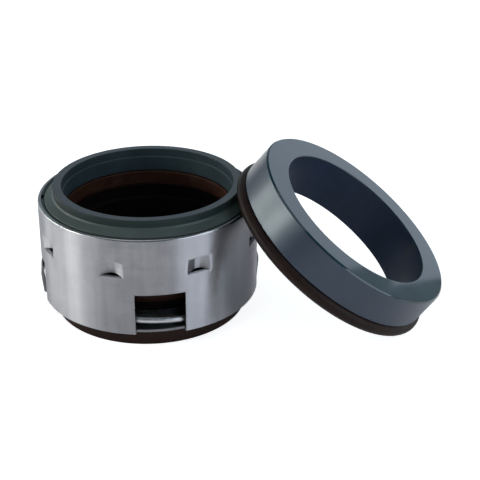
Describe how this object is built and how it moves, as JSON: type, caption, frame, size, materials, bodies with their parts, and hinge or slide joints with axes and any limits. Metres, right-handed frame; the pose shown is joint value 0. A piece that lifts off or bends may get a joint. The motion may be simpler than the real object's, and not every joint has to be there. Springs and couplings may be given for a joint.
{
  "type": "component mechanical seal",
  "caption": "Rubber bellows shaft seal: a steel-cased sprung rotary unit with a ceramic face, and a loose stationary seat with its O-ring leaning on it.",
  "frame": {"origin": "centre of the shaft bore at the bottom of the rubber foot, on the ground", "axes": "+Z along the shaft axis of the rotary unit, towards its lapped face; +X roughly towards the stationary seat; -Y the front"},
  "size_m": [0.1292, 0.0846, 0.0545],
  "materials": {
    "drawn_stainless": "drawn and lightly polished",
    "pressed_stainless": "mill finish",
    "spring_steel": "bright",
    "spring_wire": "drawn wire",
    "silicon_carbide": "ground, lapped on the face",
    "fluororubber": "moulded",
    "o_ring_rubber": "moulded"
  },
  "bodies": {
    "housing": {"drive_shell": "drawn_stainless", "snap_ring": "spring_steel", "bellows": "fluororubber", "spring_disc": "pressed_stainless", "coil_spring": "spring_wire", "seat_ring": "silicon_carbide", "seat_o_ring": "o_ring_rubber"},
    "face": {"primary_ring": "silicon_carbide", "drive_ring": "pressed_stainless"}
  },
  "joints": [
    {"name": "face_slide", "type": "slide", "parent": "housing", "child": "face", "axis": [0, 0, 1], "range_m": [-0.0035, 0], "stiffness_N_per_m": 1500, "springref_m": 0.01, "deforming": ["bellows", "coil_spring"]}
  ]
}
